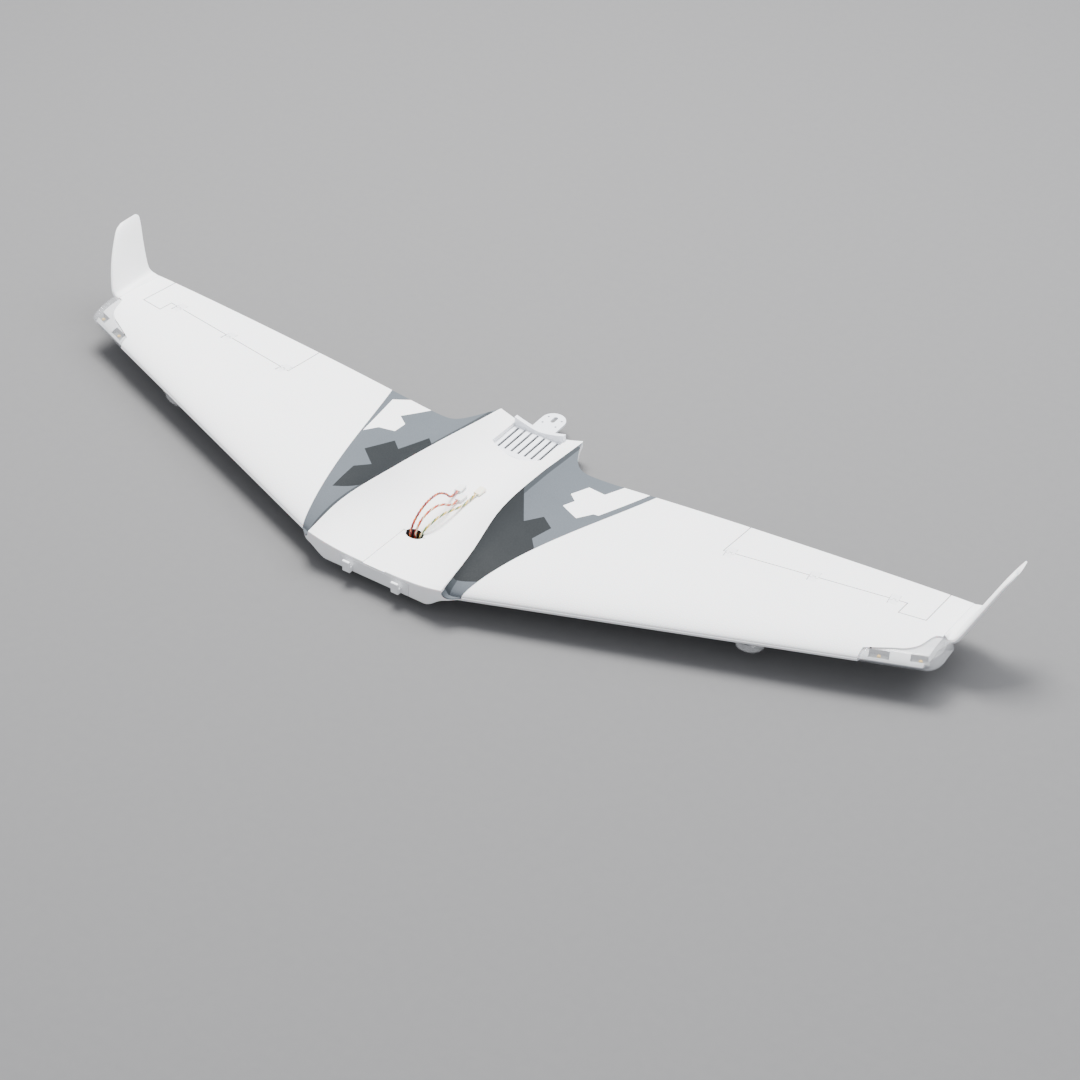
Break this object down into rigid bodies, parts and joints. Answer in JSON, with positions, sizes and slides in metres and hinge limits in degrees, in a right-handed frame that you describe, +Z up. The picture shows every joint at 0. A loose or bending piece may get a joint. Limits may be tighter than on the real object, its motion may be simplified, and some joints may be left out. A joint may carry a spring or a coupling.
{
  "type": "radio-controlled foam flying wing",
  "caption": "Tailless foam model airframe with swept wings, upturned tips, hinged elevons, servo linkages, clear tip lenses and an open equipment tray.",
  "frame": {"origin": "centre of the flat belly, under the balance point, on the surface the airframe stands on", "axes": "+Z up, -Y towards the nose, +X towards the port wing tip"},
  "size_m": [1.2088, 0.3675, 0.1128],
  "materials": {
    "foam": "moulded bead foam, fine grain",
    "white_plastic": "moulded, satin",
    "grey_plastic": "moulded, satin",
    "servo_plastic": "moulded, satin",
    "steel": "drawn wire and machined screws",
    "brass": "turned",
    "carbon": "pultruded tube",
    "clear_plastic": "thin clear moulding",
    "light_board": "circuit board",
    "lamp": "moulded lamp",
    "lead": "twisted coloured leads",
    "plug": "moulded plug"
  },
  "bodies": {
    "airframe": {"aft_servo_lead": "lead", "aft_servo_plug": "plug", "centre_body": "foam", "fore_servo_lead": "lead", "fore_servo_plug": "plug", "front_latch_strip": "white_plastic", "light_lead": "lead", "light_plug": "plug", "port_hinge_1_wing_leaf": "white_plastic", "port_hinge_2_wing_leaf": "white_plastic", "port_hinge_3_wing_leaf": "white_plastic", "port_inner_light": "lamp", "port_inner_light_board": "light_board", "port_outer_light": "lamp", "port_outer_light_board": "light_board", "port_servo": "servo_plastic", "port_servo_cover": "clear_plastic", "port_spar": "carbon", "port_tip_lens": "clear_plastic", "port_wing": "foam", "port_winglet": "foam", "rear_vent_frame": "grey_plastic", "starboard_hinge_1_wing_leaf": "white_plastic", "starboard_hinge_2_wing_leaf": "white_plastic", "starboard_hinge_3_wing_leaf": "white_plastic", "starboard_inner_light": "lamp", "starboard_inner_light_board": "light_board", "starboard_outer_light": "lamp", "starboard_outer_light_board": "light_board", "starboard_servo": "servo_plastic", "starboard_servo_cover": "clear_plastic", "starboard_spar": "carbon", "starboard_tip_lens": "clear_plastic", "starboard_wing": "foam", "starboard_winglet": "foam"},
    "port_elevon_body": {"port_control_horn": "white_plastic", "port_elevon": "foam", "port_hinge_1_elevon_leaf": "white_plastic", "port_hinge_2_elevon_leaf": "white_plastic", "port_hinge_3_elevon_leaf": "white_plastic"},
    "port_arm_body": {"port_servo_arm": "white_plastic", "port_arm_screw": "steel"},
    "port_rod_body": {"port_pushrod": "steel", "port_rod_connector": "brass", "port_set_screw": "steel"},
    "starboard_elevon_body": {"starboard_control_horn": "white_plastic", "starboard_elevon": "foam", "starboard_hinge_1_elevon_leaf": "white_plastic", "starboard_hinge_2_elevon_leaf": "white_plastic", "starboard_hinge_3_elevon_leaf": "white_plastic"},
    "starboard_arm_body": {"starboard_servo_arm": "white_plastic", "starboard_arm_screw": "steel"},
    "starboard_rod_body": {"starboard_pushrod": "steel", "starboard_rod_connector": "brass", "starboard_set_screw": "steel"}
  },
  "joints": [
    {"name": "port_elevon_hinge", "type": "hinge", "parent": "airframe", "child": "port_elevon_body", "pos_m": [0.388, 0.06184, 0.04201], "axis": [0.9907, 0.1338, 0.025], "range_deg": [-25, 25]},
    {"name": "port_servo_shaft", "type": "hinge", "parent": "airframe", "child": "port_arm_body", "pos_m": [0.388, -0.042, 0.03544], "axis": [0.9907, 0.1338, 0.025], "range_deg": [-25, 25]},
    {"name": "port_rod_pivot", "type": "hinge", "parent": "port_arm_body", "child": "port_rod_body", "pos_m": [0.38845, -0.04194, 0.01745], "axis": [0.9907, 0.1338, 0.025], "range_deg": [-25, 25]},
    {"name": "starboard_elevon_hinge", "type": "hinge", "parent": "airframe", "child": "starboard_elevon_body", "pos_m": [-0.388, 0.06184, 0.04201], "axis": [0.9907, -0.1338, -0.025], "range_deg": [-25, 25]},
    {"name": "starboard_servo_shaft", "type": "hinge", "parent": "airframe", "child": "starboard_arm_body", "pos_m": [-0.388, -0.042, 0.03544], "axis": [0.9907, -0.1338, -0.025], "range_deg": [-25, 25]},
    {"name": "starboard_rod_pivot", "type": "hinge", "parent": "starboard_arm_body", "child": "starboard_rod_body", "pos_m": [-0.38845, -0.04194, 0.01745], "axis": [0.9907, -0.1338, -0.025], "range_deg": [-25, 25]}
  ],
  "couplings": [
    {"joint": "port_servo_shaft", "follows": "port_elevon_hinge", "ratio": 1},
    {"joint": "port_rod_pivot", "follows": "port_elevon_hinge", "ratio": -1},
    {"joint": "starboard_servo_shaft", "follows": "starboard_elevon_hinge", "ratio": 1},
    {"joint": "starboard_rod_pivot", "follows": "starboard_elevon_hinge", "ratio": -1}
  ]
}
